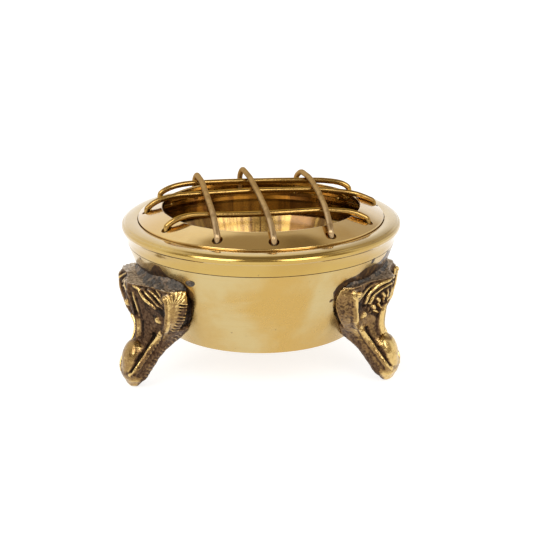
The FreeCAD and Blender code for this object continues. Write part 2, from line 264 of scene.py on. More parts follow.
def antique_brass():
    """Cast brass, dark brown in every hollow and rubbed to bright metal on what stands out."""
    mat, n, shader = material("antique_brass")
    here = n.position()
    grit = n.noise(here, 1300, 4, 0.7)
    grain = n.noise(here, 420, 4, 0.65)
    high = n.math("ADD", n.math("ADD", n.attribute("relief"), n.stray(grain, 0.42)), n.stray(grit, 0.34))
    brown = n.mix(n.ramp(grit, 0.35, 0.65), rgb(0.055, 0.028, 0.015), rgb(0.15, 0.088, 0.048))
    black = n.mix(n.ramp(grain, 0.4, 0.6), rgb(0.014, 0.009, 0.006), rgb(0.045, 0.025, 0.015))
    bronze = n.mix(n.ramp(grain, 0.4, 0.65), rgb(0.34, 0.21, 0.075), rgb(0.24, 0.14, 0.06))
    tint = n.mix(n.ramp(high, 0.08, 0.26), black, brown)
    tint = n.mix(n.ramp(high, 0.40, 0.58), tint, bronze)
    tint = n.mix(n.ramp(high, 0.60, 0.82), tint, rgb(0.72, 0.51, 0.20))
    ash = n.mix(n.ramp(grit, 0.35, 0.65), rgb(0.19, 0.14, 0.10), rgb(0.62, 0.52, 0.40))
    tint = n.mix(n.attribute("crown"), tint, ash)
    n.feed(shader.inputs["Base Color"], tint)
    shader.inputs["Metallic"].default_value = 1.0
    crown_rough = n.math("MULTIPLY", n.attribute("crown"), 0.15)
    n.feed(shader.inputs["Roughness"], n.math("ADD", n.ramp(high, 0.32, 0.72, 0.56, 0.17), crown_rough))
    n.feed(shader.inputs["Normal"], n.bump(grit, 0.06 * MM, under=n.bump(grain, 0.10 * MM)))
    return mat


antique = antique_brass()


def solder_metal():
    """Dull grey solder with warmer, paler patches."""
    mat, n, shader = material("solder")
    here = n.position()
    grit = n.noise(here, 1100, 4, 0.7)
    patches = n.noise(here, 300, 3, 0.6)
    grey = n.mix(n.ramp(grit, 0.35, 0.7), rgb(0.036, 0.031, 0.027), rgb(0.15, 0.128, 0.106))
    warm = n.mix(n.ramp(grit, 0.35, 0.65), rgb(0.13, 0.085, 0.055), rgb(0.34, 0.26, 0.185))
    n.feed(shader.inputs["Base Color"], n.mix(n.ramp(patches, 0.50, 0.62), grey, warm))
    shader.inputs["Metallic"].default_value = 0.6
    n.feed(shader.inputs["Roughness"], n.ramp(grit, 0.3, 0.7, 0.42, 0.66))
    n.feed(shader.inputs["Normal"], n.bump(grit, 0.08 * MM, under=n.bump(patches, 0.1 * MM)))
    return mat


solder_grey = solder_metal()


# ---------------------------------------------------------------- shape helpers

def rounded(points, radii, step=0.35, guard=0.12):
    """Points along a path of straight runs, with an arc of the given radius at each inner corner."""
    points = [np.array(p, float) for p in points]
    out = [points[0]]
    start = points[0]

    def run(a, b):
        length = np.linalg.norm(b - a)
        if length < 3 * guard:
            return [b]
        count = max(1, int((length - 2 * guard) / (step * 3)))
        between = [(guard + (length - 2 * guard) * k / count) / length for k in range(1, count)]
        return [a + (b - a) * s for s in [guard / length, *between, 1 - guard / length, 1.0]]

    for before, corner, after, radius in zip(points, points[1:], points[2:], radii):
        into = (before - corner) / np.linalg.norm(before - corner)
        away = (after - corner) / np.linalg.norm(after - corner)
        half = math.acos(max(-1, min(1, float(into @ away)))) / 2
        if radius <= 0 or half > math.pi / 2 - 0.002:
            out += run(start, corner)
            start = corner
            continue
        back = radius / math.tan(half)
        a, b = corner + into * back, corner + away * back
        middle = into + away
        centre = corner + middle / np.linalg.norm(middle) * radius / math.sin(half)
        sweep = math.pi - 2 * half
        out += run(start, a)
        count = max(3, int(radius * sweep / step))
        for k in range(1, count + 1):
            t = k / count
            w = [math.sin((1 - t) * sweep) / math.sin(sweep), math.sin(t * sweep) / math.sin(sweep)]
            out.append(centre + (a - centre) * w[0] + (b - centre) * w[1])
        start = b
    return np.array(out + run(start, points[-1]))


def through(a, b, c, count=14):
    """The parabola through three points, as a list of points."""
    a, b, c = (np.array(p, float) for p in (a, b, c))
    m = np.linalg.norm(b - a) / (np.linalg.norm(b - a) + np.linalg.norm(c - b))
    t = np.linspace(0, 1, count)[:, None]
    return list(a * (t - m) * (t - 1) / m + b * t * (t - 1) / (m * (m - 1)) + c * t * (t - m) / (1 - m))


def link(name, points, faces, mat, smooth=True):
    mesh = bpy.data.meshes.new(name)
    mesh.from_pydata([tuple(p) for p in points], [], faces)
    mesh.validate()
    if smooth:
        mesh.shade_smooth()
    mesh.materials.append(mat)
    piece = bpy.data.objects.new(name, mesh)
    scene.collection.objects.link(piece)
    return piece


def lathe(name, profile, mat, turns=288):
    """A closed profile of (radius, height) in mm turned about Z. Points on the axis become one point."""
    points, rows = [], []
    for r, z in profile:
        if r < 1e-6:
            rows.append([len(points)])
            points.append((0, 0, z * MM))
        else:
            rows.append(list(range(len(points), len(points) + turns)))
            angles = [math.tau * k / turns for k in range(turns)]
            points += [(r * MM * math.cos(a), r * MM * math.sin(a), z * MM) for a in angles]
    faces = []
    closed = len(rows[0]) > 1
    for lower, upper in zip(rows, rows[1:] + rows[:1] if closed else rows[1:]):
        for k in range(turns):
            j = (k + 1) % turns
            if len(lower) == 1:
                faces.append((lower[0], upper[j], upper[k]))
            elif len(upper) == 1:
                faces.append((lower[k], lower[j], upper[0]))
            else:
                faces.append((lower[k], lower[j], upper[j], upper[k]))
    return link(name, points, faces, mat)


def finish_normals(piece):
    bm = bmesh.new()
    bm.from_mesh(piece.data)
    bmesh.ops.recalc_face_normals(bm, faces=bm.faces)
    bm.to_mesh(piece.data)
    bm.free()


def tube(name, path, radius, mat, sides=20):
    """A round wire along the path, with domed ends."""
    path = np.array(path)
    step = np.gradient(path, axis=0)
    step /= np.linalg.norm(step, axis=1)[:, None]
    side = np.cross(step[0], (0.3, 0.2, 0.9))
    angles = np.linspace(0, math.tau, sides, endpoint=False)[:, None]
    rings = []
    for centre, d in zip(path, step):
        side = side - d * (side @ d)
        side /= np.linalg.norm(side)
        rings.append(centre + radius * (np.cos(angles) * side + np.sin(angles) * np.cross(d, side)))
    dome = radius * 0.4
    points = np.concatenate(rings + [path[:1] - step[:1] * dome, path[-1:] + step[-1:] * dome])
    faces = []
    for k in range(len(path) - 1):
        for i in range(sides):
            j = (i + 1) % sides
            faces.append((k * sides + i, k * sides + j, (k + 1) * sides + j, (k + 1) * sides + i))
    last = (len(path) - 1) * sides
    head, tail = len(points) - 2, len(points) - 1
    for i in range(sides):
        j = (i + 1) % sides
        faces.append((j, i, head))
        faces.append((last + i, last + j, tail))
    return link(name, points * MM, faces, mat)


def coords(piece):
    co = np.empty(len(piece.data.vertices) * 3)
    piece.data.vertices.foreach_get("co", co)
    return co.reshape(-1, 3)


def normals(piece):
    out = np.empty(len(piece.data.vertices) * 3)
    piece.data.vertices.foreach_get("normal", out)
    return out.reshape(-1, 3)


def put(piece, co):
    piece.data.vertices.foreach_set("co", np.asarray(co).ravel())
    piece.data.update()


def give(piece, name, values):
    layer = piece.data.attributes.new(name, "FLOAT", "POINT")
    layer.data.foreach_set("value", np.asarray(values, np.float32))


def lumps(co, size, octaves=3, seed=0.0):
    """Smooth noise about 0 at each point; size is the length of its largest lumps in metres."""
    shift = Vector((seed, seed * 1.7, -seed))
    return np.array([noise.fractal(Vector(p) / size + shift, 0.6, 2.0, octaves) for p in co])


def step(x, low, high):
    t = np.clip((x - low) / (high - low), 0, 1)
    return t * t * (3 - 2 * t)


def applied(piece, *settings):
    """Runs modifiers on a piece in turn and keeps the result as its mesh."""
    for kind, values in settings:
        m = piece.modifiers.new(kind.lower(), kind)
        for key, value in values.items():
            setattr(m, key, value)
    graph = bpy.context.evaluated_depsgraph_get()
    mesh = bpy.data.meshes.new_from_object(piece.evaluated_get(graph))
    piece.modifiers.clear()
    piece.data = mesh
    return piece


def copy_of(node, name, mat):
    """A new piece with its own copy of a CAD node's mesh."""
    piece = bpy.data.objects.new(name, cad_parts[node].data.copy())
    scene.collection.objects.link(piece)
    piece.data.materials.clear()
    piece.data.materials.append(mat)
    return piece


def place(piece, body, slot, *nodes):
    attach(piece, body)
    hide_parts(*nodes)
    return piece


# ---------------------------------------------------------------- bowl, collar and lid ring

def eased(corners, radius=0.12):
    """A profile with its corners rounded. A corner is (r, z) or (r, z, radius of its rounding)."""
    points = [c[:2] for c in corners]
    radii = [c[2] if len(c) > 2 else radius for c in corners]
    return rounded(points, radii[1:-1], step=0.05)


outer = through((BOTTOM_R, BOTTOM_Z), MIDDLE, (SEAM_R, SEAM_Z), 90)
inner = through((SOCKET_R, SOCKET_Z), (MIDDLE[0] - WALL, MIDDLE[1]), (26.2, 16.3), 30)
bowl_profile = [(r, BOTTOM_Z) for r in (0, 8, 18, BOTTOM_R - 0.5, BOTTOM_R - 0.12)]
bowl_profile += [(BOTTOM_R - 0.03, BOTTOM_Z + 0.03), tuple(outer[0] + (outer[1] - outer[0]) * 0.15)]
bowl_profile += [tuple(p) for p in outer[1:-1]] + [tuple(outer[-1] + (outer[-2] - outer[-1]) * 0.25)]
bowl_profile += [(SEAM_R - 0.04, SEAM_Z - 0.16), (SEAM_R - 0.22, SEAM_Z - 0.01), (SEAM_R - 0.6, SEAM_Z)]
bowl_profile += [(SOCKET_R + 0.05, SEAM_Z), (SOCKET_R, SEAM_Z - 0.1), (SOCKET_R, SOCKET_Z + 0.1)]
bowl_profile += [tuple(p) for p in inner]
bowl_profile += [(25.9, 15.6), (25.4, 14.9), (24.8, 14.3)]
bowl_profile += [(r, INSIDE_FLOOR_Z) for r in (24.0, 22.0, 14.0, 6.0, 0)]
bowl = lathe("bowl_turned", bowl_profile, polished, 576)

bead = [(39.5, 40.32, 0.15), (39.92, 40.75, 0.6), (RIM_R, 41.55, 0.5), (39.72, 42.12, 0.5)]
crown = [(CREASE_R, CREASE_Z, 0.15), (39.0, 42.62, 1.5), (37.4, RIM_TOP_Z + 0.12, 8.0)]
crown += [(REBATE_R, RIM_TOP_Z, 0.10)]
collar_corners = [(SPIGOT_R, 38.6), (SPIGOT_R, 36.4), (SPIGOT_R, SOCKET_Z + 0.05, 0.15)]
collar_corners += [(SOCKET_R, SOCKET_Z, 0.1)]
collar_corners += [(SOCKET_R, SEAM_Z, 0.0), (37.6, SEAM_Z, 0.0), (SEAM_R, SEAM_Z, 0.16), (38.75, 38.7, 6.0)]
collar_corners += bead + crown
collar_corners += [(REBATE_R, LEDGE_Z, 0.1), (LEDGE_R, LEDGE_Z, 0.1), (LEDGE_R, 39.8, 0.1)]
collar_corners += [(SPIGOT_R, 38.6, 0.1), (SPIGOT_R, 37.6)]
collar_profile = eased(collar_corners)
collar = lathe("rim_collar_turned", collar_profile[1:-1], collar_brass)

drop = LID_THICKNESS * math.hypot(1, LID_SLOPE)
under_opening = LID_OPENING_Z - drop
under_seat = LID_EDGE_Z + (LID_R - LID_SEAT_R) * LID_SLOPE - drop
lid_middle = ((LID_OPENING_R + LID_R) / 2, (LID_OPENING_Z + LID_EDGE_Z) / 2 + LID_CROWN, 40.0)
lid_foot_z = LEDGE_Z + 0.02
lid_corners = [(LID_OPENING_R, 45.7), (LID_OPENING_R, LID_OPENING_Z, 0.35), lid_middle]
lid_corners += [(LID_R, LID_EDGE_Z, 0.35), (LID_R, lid_foot_z, 0.1)]
lid_corners += [(LID_SEAT_R, lid_foot_z, 0.1), (LID_SEAT_R, under_seat, 0.1)]
lid_corners += [(LID_OPENING_R, under_opening, 0.2), (LID_OPENING_R, 45.6)]
lid = lathe("lid_ring_turned", eased(lid_corners)[:-1], lid_brass, 240)

# ---------------------------------------------------------------- wires

# Each wire: the azimuths of its two holes, then bends as (share of span, height, radius, offset to the left)
WIRES = {
    "front": ((217.5, 335.5), [
        (0, 45.5, 0.9, 0), (0.045, 47.6, 4.5, 0.2), (0.125, 48.35, 10, 0.9), (0.35, 47.9, 60, 1.0),
        (0.52, 48.1, 60, 0.5), (0.78, 48.15, 14, 1.6), (0.935, 47.5, 6, 0.8), (1, 45.6, 1.2, 0)]),
    "middle": ((183.0, 371.8), [
        (0, 45.6, 0.9, 0), (0.04, 47.9, 4.5, 0), (0.12, 49.1, 11, 0.3), (0.5, 49.15, 80, 2.2),
        (0.76, 48.85, 26, 1.7), (0.92, 47.6, 9, 0.5), (1, 45.2, 1.2, 0)]),
    "back": ((156.0, 396.0), [
        (0, 46.3, 1.4, 0), (0.055, 47.9, 4.5, 0.4), (0.14, 48.5, 12, 1.6), (0.35, 48.4, 50, 2.6),
        (0.65, 48.2, 50, 2.7), (0.86, 48.15, 14, 1.6), (0.97, 47.6, 3.6, 0.3), (1, 46.0, 1.6, 0)]),
    "left": ((249.0, 128.1), [
        (0, 45.6, 1.2, 0), (0.035, 47.1, 6, 0), (0.16, 49.7, 20, 0), (0.4, 50.8, 50, 0),
        (0.7, 50.8, 30, -0.4), (0.93, 49.75, 3.0, -0.3), (1, 47.2, 2.5, 0)]),
    "centre": ((276.0, 101.4), [
        (0, 45.6, 1.2, 0), (0.035, 47.2, 6, 0), (0.16, 49.7, 20, 0), (0.4, 50.95, 50, 0),
        (0.7, 51.0, 30, -0.3), (0.94, 49.85, 3.0, -0.3), (1, 47.2, 2.5, 0)]),
    "right": ((305.3, 70.5), [
        (0, 45.6, 1.2, 0), (0.035, 47.3, 6, 0), (0.16, 49.7, 20, -0.2), (0.4, 50.75, 50, -0.7),
        (0.7, 50.5, 30, -1.2), (0.92, 49.4, 3.4, -0.8), (1, 47.0, 2.5, 0)]),
}


def hole(wire, end):
    a = math.radians(WIRES[wire][0][end])
    r = OUTER_HOLE_R if (wire, end) == ("middle", 1) else HOLE_CIRCLE_R
    return np.array((r * math.cos(a), r * math.sin(a), 0.0))


def wire_path(name):
    """The wire's line: a hook below the lid at each end, and easy bends between its two holes."""
    first, last = hole(name, 0), hole(name, 1)
    span = np.linalg.norm(last - first)
    along = (last - first) / span
    up = np.array((0, 0, 1.0))
    below = LID_EDGE_Z + (LID_R - HOLE_CIRCLE_R) * LID_SLOPE - drop - WIRE_R - 0.2
    rise = HOOK * LID_SLOPE * 0.5
    points = [first + along * HOOK + up * (below + rise), first + up * below]
    radii = [HOOK_BEND]
    for share, height, radius, aside in WIRES[name][1]:
        points.append(first + along * span * share + up * height + np.cross(up, along) * aside)
        radii.append(radius)
    points += [last + up * below, last - along * HOOK + up * (below + rise)]
    path = rounded(points, radii + [HOOK_BEND], step=0.3)
    # the stretch between the holes is smoothed; the bends at the holes keep their shape
    length = np.concatenate([[0], np.cumsum(np.linalg.norm(np.diff(path, axis=0), axis=1))])
    even = np.arange(0, length[-1], 0.25)
    path = np.stack([np.interp(even, length, path[:, k]) for k in range(3)], -1)
    free = np.minimum(even, even[-1] - even)
    free = step(free, 6.5, 9.5)[1:-1, None]
    for _ in range(90):
        path[1:-1] += free * 0.5 * ((path[:-2] + path[2:]) / 2 - path[1:-1])
    return path


cutters = []
for name in WIRES:
    metal = golden_wire if name in ("front", "middle", "back") else pale_wire
    wire = tube("wire_" + name + "_drawn", wire_path(name), WIRE_R, metal)
    place(wire, "lid", "golden_wire" if metal is golden_wire else "pale_wire", "wire_" + name)
    for end in (0, 1):
        x, y, _ = hole(name, end)
        top = LID_EDGE_Z + (LID_R - math.hypot(x, y)) * LID_SLOPE
        corners = [(0, LEDGE_Z - 1), (HOLE_R, LEDGE_Z - 1), (HOLE_R, top + 3), (0, top + 3)]
        drill = lathe("drill", corners, lid_brass, 40)
        drill.location = (x * MM, y * MM, 0)
        cutters.append(drill)

# the drills are joined, and cut all the holes of the lid at once
bpy.context.view_layer.update()
drills = cutters[0]
with bpy.context.temp_override(active_object=drills, object=drills, selected_objects=cutters,
                               selected_editable_objects=cutters):
    bpy.ops.object.join()
applied(lid, ("BOOLEAN", {"operation": "DIFFERENCE", "solver": "EXACT", "object": drills}))
bpy.data.objects.remove(drills)
for piece in (bowl, collar, lid):
    finish_normals(piece)
lid.data.shade_smooth()
lid.data.set_sharp_from_angle(angle=math.radians(32))
bowl.data.set_sharp_from_angle(angle=math.radians(40))
collar.data.set_sharp_from_angle(angle=math.radians(40))


# Outlines of the brown round each foot, left by flux and heat, with a painted shadow beside each ear:
# (distance along the wall, height)
LEFT_STAIN_AND_SHADOW = [
    (-9, 32.6), (-1, 32.9), (1.8, 33.1), (4.4, 35.4), (5.4, 36.1), (7.7, 36.2), (8.5, 34.6), (9.8, 33.7),
    (12.8, 33.3), (15.2, 32.7), (17.0, 30.0), (16.0, 27.5), (14.5, 24.6), (12.9, 22.2), (11.1, 20.3),
    (8.0, 19.0), (-9, 19.0)]
RIGHT_STAIN_AND_SHADOW = [
    (-9, 35.6), (-3.0, 36.6), (-1.9, 35.6), (0.5, 34.6), (5.6, 34.7), (8.6, 34.8), (11.5, 33.4),
    (15.9, 32.9), (17.7, 31.4), (18.2, 29.6), (16.2, 26.4), (14.1, 23.0), (11.4, 19.7), (9.0, 17.3),
    (-9, 17.0)]
# Which side of each foot the outline starts from, and small separate spots: (along, height, radius)
STAINS_AND_SHADOWS = {
    "front_left": (1, LEFT_STAIN_AND_SHADOW, [(-2.2, 35.9, 0.55)]),
    "front_right": (-1, RIGHT_STAIN_AND_SHADOW, [(5.9, 36.3, 0.8), (17.6, 27.0, 0.5)]),
    "back": (1, RIGHT_STAIN_AND_SHADOW, []),
}


def inside_by(x, y, outline):
    """How far each point is inside a closed outline; outside it the distance is negative."""
    near = np.full(len(x), 1e9)
    odd = np.zeros(len(x), bool)
    for (ax, ay), (bx, by) in zip(outline, outline[1:] + outline[:1]):
        dx, dy = bx - ax, by - ay
        t = np.clip(((x - ax) * dx + (y - ay) * dy) / (dx * dx + dy * dy), 0, 1)
        near = np.minimum(near, np.hypot(x - ax - t * dx, y - ay - t * dy))
        if dy:
            odd ^= ((y < ay) != (y < by)) & (x < ax + (y - ay) / dy * dx)
    return np.where(odd, near, -near)


def stain_and_shade_on(piece):
    """Where the brass is brown: heat staining round the head of each foot with a painted shadow beside each
    ear, grime in the seam, painted shade in the crease above the bead, and all over the inside.
    """
    co = coords(piece) / MM
    angle = np.degrees(np.arctan2(co[:, 1], co[:, 0]))
    radius = np.hypot(co[:, 0], co[:, 1])
    z = co[:, 2]
    wall = np.interp(z, [BOTTOM_Z, MIDDLE[1], SEAM_Z, 40.3], [BOTTOM_R, MIDDLE[0], SEAM_R, 39.4])
    outside = step(radius, wall - 0.9, wall - 0.5) * step(40.0 - z, 0, 2)
    total = np.zeros(len(co))
    for name, azimuth in FOOT_AZIMUTH.items():
        facing, outline, spots = STAINS_AND_SHADOWS[name]
        along = np.radians((angle - azimuth + 180) % 360 - 180) * radius * facing
        # brown round each foot: heat staining, and beside each ear a painted shadow of the ear
        total = np.maximum(total, step(inside_by(along, z, outline), -0.9, 0.9))
        for x, y, size in spots:
            total = np.maximum(total, step(size - np.hypot(along - x, z - y), -0.35, 0.3))
    # grime has settled in the seam under the collar, and the crease above the bead is darkened with painted
    # shade
    seam = 0.85 * np.exp(-((z - SEAM_Z) / 0.13) ** 2) * step(radius, SEAM_R - 0.9, SEAM_R - 0.6)
    crease = 0.40 * np.exp(-(np.hypot(radius - CREASE_R, z - CREASE_Z) / 0.45) ** 2)
    give(piece, "stain_and_shade", np.maximum(np.maximum(total * outside, seam), crease))
    inner = step(wall - radius, 0.9, 1.4) * step(LEDGE_Z - 0.1 - z, 0, 0.2)
    give(piece, "inner", inner * (piece is not lid))


for piece in (bowl, collar, lid):
    stain_and_shade_on(piece)
place(bowl, "burner", "polished_brass", "bowl")
place(collar, "burner", "polished_brass", "rim_collar")
place(lid, "lid", "lid_brass", "lid_ring")

# ---------------------------------------------------------------- feet

def to_foot(co, name):
    """Foot coordinates in mm: reach outwards, sideways, height."""
    a = math.radians(FOOT_AZIMUTH[name])
    out = np.array((math.cos(a), math.sin(a), 0.0))
    side = np.array((-math.sin(a), math.cos(a), 0.0))
    return np.stack([co @ out / MM - FOOT_REACH[name], co @ side / MM, co[:, 2] / MM], -1)


def to_line(a, z, line):
    """Distance of each point (half width, height) from a line of straight runs, and the share along it."""
    best = np.full(len(a), 1e9)
    share = np.zeros(len(a))
    for k, ((ax, ay), (bx, by)) in enumerate(zip(line, line[1:])):
        dx, dy = bx - ax, by - ay
        t = np.clip(((a - ax) * dx + (z - ay) * dy) / (dx * dx + dy * dy), 0, 1)
        d = np.hypot(a - ax - t * dx, z - ay - t * dy)
        share = np.where(d < best, (k + t) / (len(line) - 1), share)
        best = np.minimum(best, d)
    return best, share


def flowing(spots, count=6):
    """Points along a smooth curve that passes through the given ones."""
    p = np.array([spots[0], *spots, spots[-1]], float)
    along = []
    for a, b, c, d in zip(p, p[1:], p[2:], p[3:]):
        for t in np.arange(count) / count:
            bend = (2 * a - 5 * b + 4 * c - d) * t ** 2 + (3 * b - a - 3 * c + d) * t ** 3
            along.append(b + 0.5 * ((c - a) * t + bend))
    return along + [p[-1]]


def hump(d, width):
    return np.exp(-(d / width) ** 2)


# Raised lines of each face (half width, height), the width of a line, how far it stands out, how worn it is
LEFT_LINES = [
    ([(2.3, 30.3), (4.1, 29.4), (5.4, 27.0), (8.6, 24.8)], 0.42, 0.45, 0.55),
    ([(4.8, 29.8), (6.5, 28.6), (9.2, 26.6), (11.4, 25.4)], 0.36, 0.40, 0.50),
    ([(6.3, 29.8), (9.2, 28.4), (12.2, 26.4)], 0.30, 0.30, 0.35),
    ([(8.9, 30.1), (11.2, 28.9), (12.8, 27.6)], 0.26, 0.25, 0.30),
    ([(1.9, 28.0), (1.5, 24.3), (1.3, 21.0)], 0.36, 0.25, 0.40),
    ([(1.1, 20.4), (0.9, 17.6), (0.9, 14.9)], 0.55, 0.15, 0.40),
]
RIGHT_LINES = [
    ([(0.4, 30.2), (3.4, 30.0), (6.4, 29.3), (10.2, 27.7), (12.2, 26.4)], 0.34, 0.35, 0.45),
    ([(0.6, 29.7), (2.9, 29.5), (5.4, 28.9), (7.8, 27.4), (9.1, 24.9)], 0.34, 0.48, 0.60),
    ([(0.6, 28.8), (3.2, 28.1), (5.7, 26.7), (7.2, 24.4)], 0.34, 0.50, 0.70),
    ([(5.8, 23.4), (4.3, 21.6), (2.2, 20.3)], 0.44, 0.62, 0.75),
    ([(4.5, 25.2), (3.1, 23.2), (1.5, 21.5)], 0.40, 0.60, 0.75),
    ([(3.0, 26.4), (2.0, 24.8), (1.0, 23.2)], 0.36, 0.55, 0.70),
    ([(1.3, 27.0), (0.9, 25.4), (0.6, 24.1)], 0.34, 0.30, 0.40),
    ([(0.5, 22.2), (0.8, 19.7), (0.8, 16.8), (0.6, 13.9)], 0.62, 0.42, 0.55),
]
LIP = [(8.2, 17.2), (7.0, 16.0), (5.2, 13.0), (4.6, 10.0), (4.5, 7.4), (3.9, 5.6), (2.4, 4.3)]
BULB_EDGE = [(0.4, 13.9), (2.0, 13.2), (3.4, 11.6), (3.9, 9.4), (3.5, 7.0), (2.2, 5.4)]
CHANNEL = [(5.6, 16.2), (4.2, 12.6), (4.15, 9.8), (4.0, 7.6), (3.2, 5.6)]
EAR_BRIM = [(13.4, 28.9), (13.9, 26.6), (13.3, 24.0), (11.8, 20.6), (10.2, 18.4)]


class Relief:
    """Fine relief of one casting: how far each point stands out, in mm, and how worn it is, with painted
    shade in the gaps behind the ears.
    """

    def __init__(self, piece, name):
        self.left = name == "front_left"
        self.turn = math.radians(FOOT_AZIMUTH[name])
        self.co, self.out = coords(piece), normals(piece)
        self.u, self.v, self.z = to_foot(self.co, name).T
        self.a = np.abs(self.v)
        self.face = self.out[:, 0] * math.cos(self.turn) + self.out[:, 1] * math.sin(self.turn)
        self.front = step(self.face, -0.1, 0.35)
        self.waver = lumps(self.co, 0.0030, 2, 7.0)
        self.uneven = np.clip(0.75 + 1.1 * lumps(self.co, 0.0042, 2, 11.0), 0.15, 1.4)
        self.raised, self.worn = np.zeros(len(self.co)), np.zeros(len(self.co))

    def add(self, where, raised, worn):
        self.raised += raised * where
        self.worn += worn * where

    def to_line(self, line):
        return to_line(self.a, self.z, line)

    def on_front(self, distance):
        """The distance on the front of the casting, and a long way off on the rest of it."""
        return distance * self.front + 9 * (1 - self.front)

    def lines(self):
        low = step(30.5 - self.z, 0.0, 0.5)
        for spots, width, height, rubbed in LEFT_LINES if self.left else RIGHT_LINES:
            d, share = self.to_line(flowing(spots))
            taper = 0.45 + 0.55 * np.sin(math.pi * np.clip(share, 0.06, 0.94))
            raised = height * hump(d, width) - 0.55 * height * hump(d - width * 2.1, width * 0.9)
            worn = rubbed * hump(d, width * 0.9) - 0.34 * hump(d - width * 2.2, width)
            self.add(taper * self.front * low, raised, worn)

    def trunk(self):
        """Lip, the dark channel between it and the bulb, and the worn bulb at the end."""
        d, share = self.to_line(flowing(LIP))
        side = step(self.a, 1.0, 2.2) * step(self.face, -0.1, 0.25)
        wide = 0.34 + 0.42 * hump(share - 0.1, 0.2)
        self.add(side, 0.30 * hump(d, 0.38), 0.62 * hump(d, wide))
        channel = hump(self.to_line(CHANNEL)[0], 0.55) * side * step(self.u, 36, 38)
        self.add(channel, -0.45, -0.60)
        bulb = 1.0 - np.hypot(self.a / 3.9, (self.z - 8.9) / 5.0)
        self.bulb = step(bulb, -0.05, 0.25) * step(self.u, 39.5, 41)
        self.add(self.bulb, 0, 0.24)
        self.add(hump(self.to_line(BULB_EDGE)[0], 0.4) * step(self.u, 39.0, 40), 0, 0.25)
        self.add(step(5.0 - self.z, 0, 2.6) * step(self.face, -0.2, 0.4), 0, 0.26)

    def eyes(self):
        """Eyes, the hollow above each, and the cheeks and brow, which are dark between the lines."""
        eye = self.on_front(np.hypot((self.a - 9.0) / 1.0, (self.z - 21.4) / 1.2))
        self.add(1, 0.25 * hump(eye, 0.8), 0.55 * hump(eye, 0.9))
        hollow = hump(self.on_front(np.hypot(self.a - 11.4, (self.z - 24.4) * 0.8)), 1.5)
        self.add(hollow, -0.35, -0.35)
        cheek = np.hypot((self.a - 7.2) / 4.4, (self.z - 24.5) / 4.2)
        self.add(step(1.1 - cheek, 0, 0.5) * self.front, 0, -0.14)

    def left_ear(self, ear, flank, brim):
        """Short ribs down the flank, and a fan of them at its top."""
        phase = (self.z - 0.30 * (self.u - 34)) * math.tau / 1.05
        rib = np.sin(phase + 2.2 * self.waver) * self.uneven
        ribbed = flank * step(27.6 - self.z, 0, 0.6) * step(34.9 - self.u, 0, 0.8)
        self.add(ribbed, 0.20 * rib, 0.34 * rib - 0.16)
        spread = np.arctan2(self.z - 26.4, self.u - 36.4)
        fan = np.sin(spread * 24 + 2.4 * self.waver) * self.uneven
        self.add(flank * step(self.z, 27.2, 28.2), 0.14 * fan, 0.18 + 0.22 * fan)
        swell = hump(np.hypot(self.u - 34.2, (self.z - 28.6) * 1.3), 2.0)
        self.add(flank, 0.35 * swell, 0.24 * (1 - 0.5 * ribbed))
        self.add(ear, 0, 0.22 * hump(brim, 0.8))

    def right_ear(self, ear, flank, brim):
        """A rubbed brim, a few cracks across the flank, and a curl at the top."""
        self.add(self.front * ear, 0.18 * hump(brim, 0.6), 0.42 * hump(brim - 0.1, 0.5))
        upper = flank * step(self.z, 24.4, 25.4) * step(28.2 - self.z, 0, 0.8)
        winding = np.sin(self.u * 1.7) * 1.4 + np.sin(self.z * 0.7) * 2
        crack = np.abs(np.sin(self.z * 1.9 + winding)) * upper
        self.add(upper, -0.14 * step(0.22 - crack, 0, 0.2), 0)
        self.add(flank, 0, 0.10 * step(self.z, 26.0, 28.5) - 0.06)
        curl = np.hypot(self.a - 12.8, self.z - 28.2)
        turns = np.sin(curl * 4.4 - np.arctan2(self.z - 28.2, self.a - 12.8))
        self.add(step(1.9 - curl, 0, 0.6) * self.front, 0.22 * turns, 0.25 + 0.30 * turns)

    def ears(self):
        ear = step(self.a, 10.6, 12.2) * step(self.z, 17.2, 18.8)
        brim = self.to_line(EAR_BRIM)[0]
        turned_away = step(0.75 - self.face, 0.0, 0.4)
        if self.left:
            flank = turned_away * step(self.z, 16.8, 18.2) * step(self.a, 8.2, 9.6)
            self.left_ear(ear, flank, brim)
        else:
            flank = turned_away * step(self.z, 10.0, 18.0) * step(self.a, 4.0, 9.6)
            self.right_ear(ear, flank, brim)
        # the ears stand clear of the wall, with a gap behind them that is sunk in and darkened with painted
        # shade
        shaded_gap = step(32.3 - self.u, 0, 0.8) * flank * step(self.a, 9, 10.5)
        self.raised = self.raised * (1 - shaded_gap) - 0.9 * shaded_gap
        self.worn = self.worn * (1 - shaded_gap) - 0.42 * shaded_gap
        if not self.left:
            self.worn += 0.10 * self.front * step(23 - self.z, 0, 3) + 0.05 + 0.11 * flank * (1 - shaded_gap)

    def underside(self):
        """The flank of the trunk under the lip: short hatching on the left foot, plain on the others."""
        under = step(0.25 - self.face, 0, 0.4) * step(16.5 - self.z, 0, 1.5) * step(self.z, 1.8, 3.0)
        if self.left:
            phase = (self.z * 0.8 - self.u * 0.62) * math.tau / 1.1
            hatch = np.sin(phase + 3.0 * self.waver) * self.uneven
            self.add(under, 0.035 * hatch, 0.11 * hatch + 0.02)
        dark = hump(np.hypot(self.u - 40.6, (self.z - 2.4) * 0.9), 1.5)
        self.add(under, 0, -0.28 * dark)

    def moved(self):
        """The points with the relief and the sand's roughness on them, and the tip of the trunk shaped."""
        sand = lumps(self.co, 0.0022, 3, 3.0) * 0.08 + lumps(self.co, 0.0008, 3, 9.0) * 0.06
        size = sand * (1 - 0.75 * self.bulb) + self.raised
        co = self.co + self.out * size[:, None] * MM
